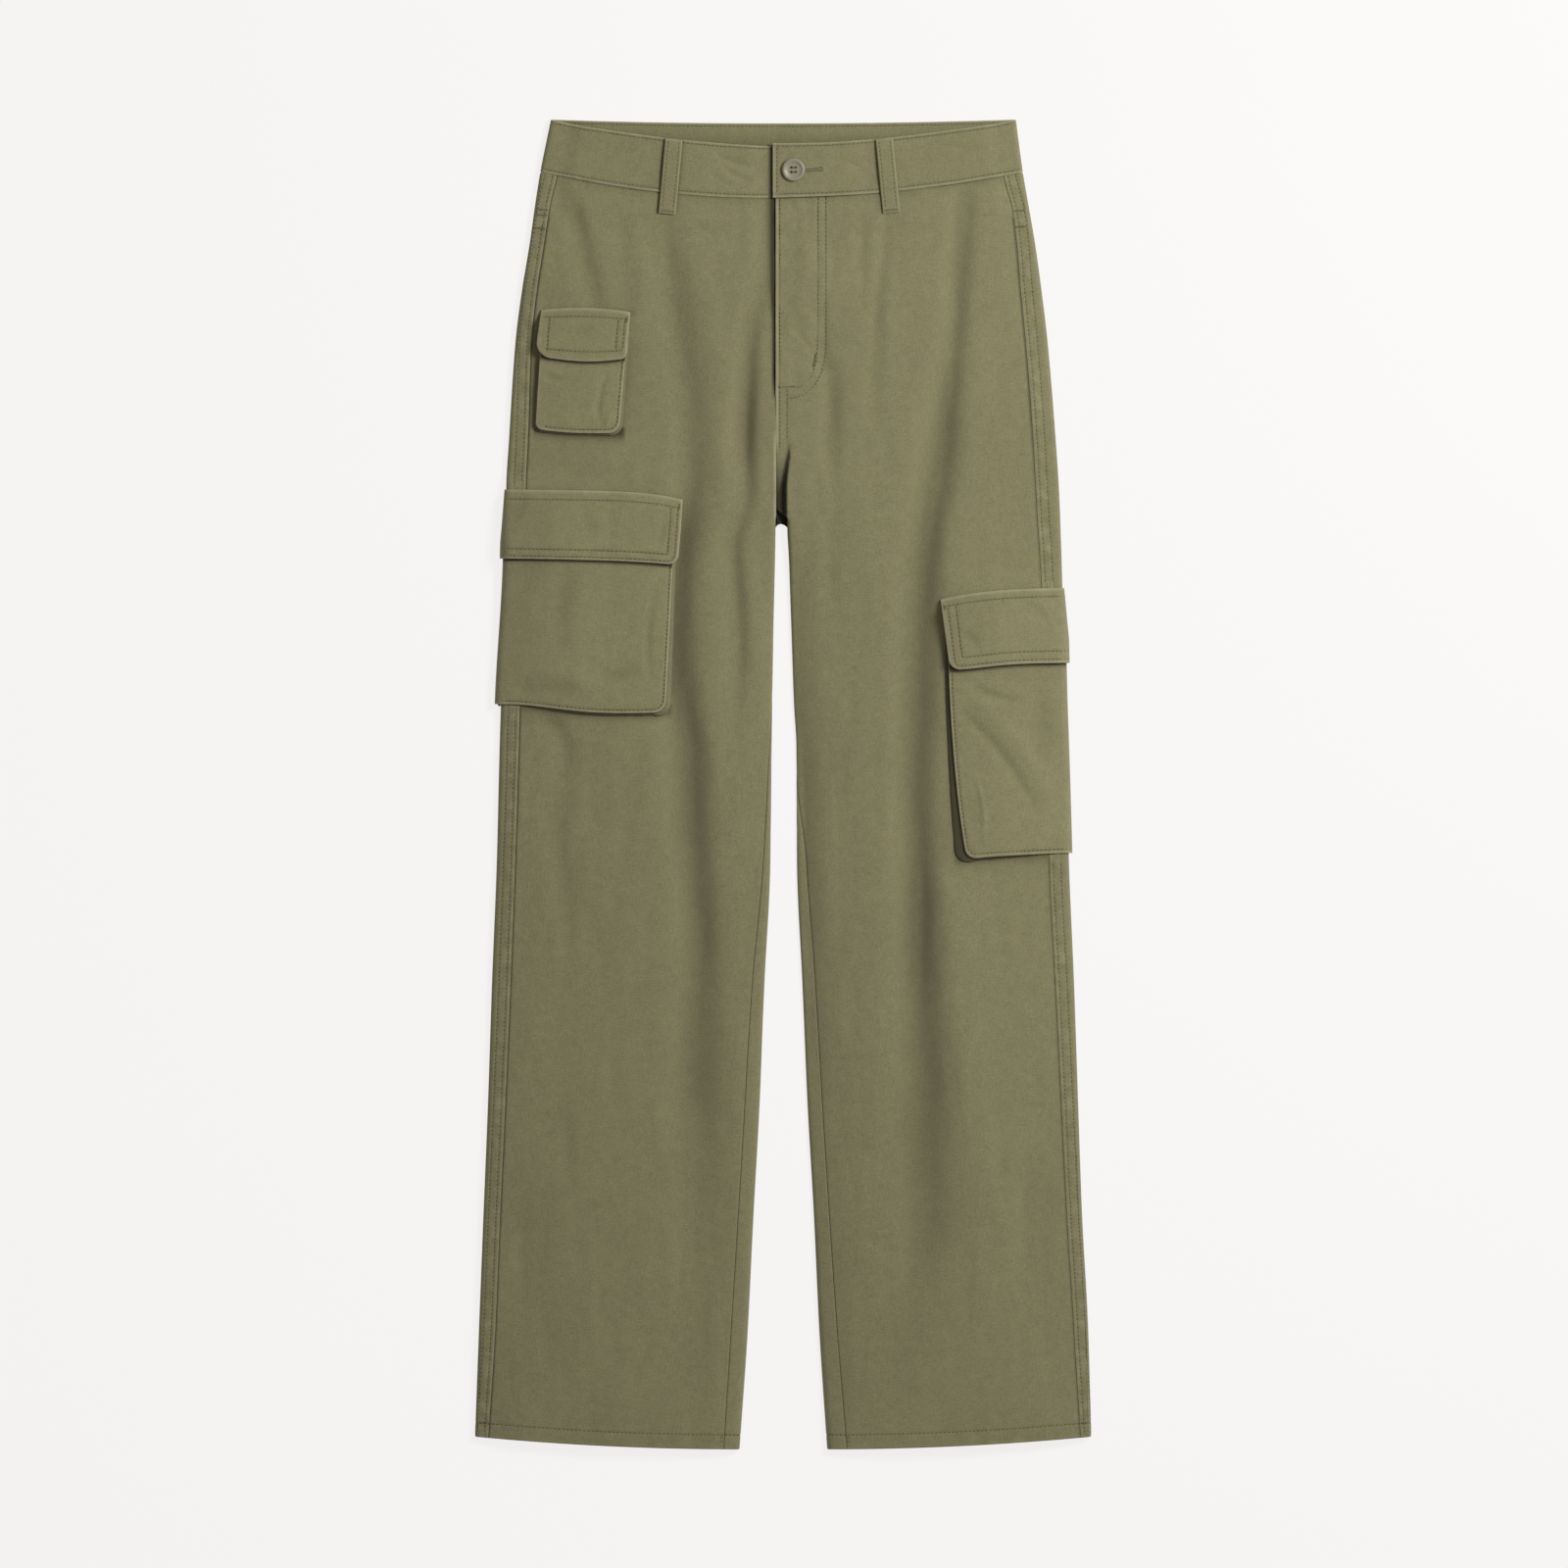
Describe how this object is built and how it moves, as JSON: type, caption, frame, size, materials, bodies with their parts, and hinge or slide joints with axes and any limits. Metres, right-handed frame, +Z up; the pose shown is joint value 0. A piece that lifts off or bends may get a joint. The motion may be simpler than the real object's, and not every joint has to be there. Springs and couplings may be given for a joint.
{
  "type": "cargo trousers",
  "caption": "Wide straight cargo trousers laid flat on their back, with a buttoned waistband, fly, belt loops, a hip pocket and bellows pockets with flaps on the thighs",
  "frame": {"origin": "middle of the bounding box on the surface that the trousers lie on", "axes": "+X to the wearer's left, +Y towards the waist, +Z up, out of the front of the trousers"},
  "size_m": [0.487, 1.0506, 0.0179],
  "materials": {
    "twill": "matt olive cotton twill, washed, a little paler along its edges and seams",
    "pocketing": "thin plain-woven olive cotton",
    "zip": "woven zip tape with a closed chain",
    "button": "satin grey-olive four-hole button with a raised rim"
  },
  "bodies": {
    "root": {"front_leg_right": "twill", "front_leg_left": "twill", "back_leg_right": "twill", "back_leg_left": "twill", "waistband_right": "twill", "waistband_left": "twill", "belt_loop_front_right": "twill", "belt_loop_front_left": "twill", "belt_loop_back_right": "twill", "belt_loop_back_center": "twill", "belt_loop_back_left": "twill", "hip_pocket_bag": "twill", "hip_pocket_flap": "twill", "thigh_pocket_right_bag": "twill", "thigh_pocket_right_flap": "twill", "thigh_pocket_left_bag": "twill", "thigh_pocket_left_flap": "twill", "side_pocket_bag_right": "pocketing", "side_pocket_bag_left": "pocketing", "fly_zip": "zip", "waist_button": "button"}
  },
  "joints": []
}
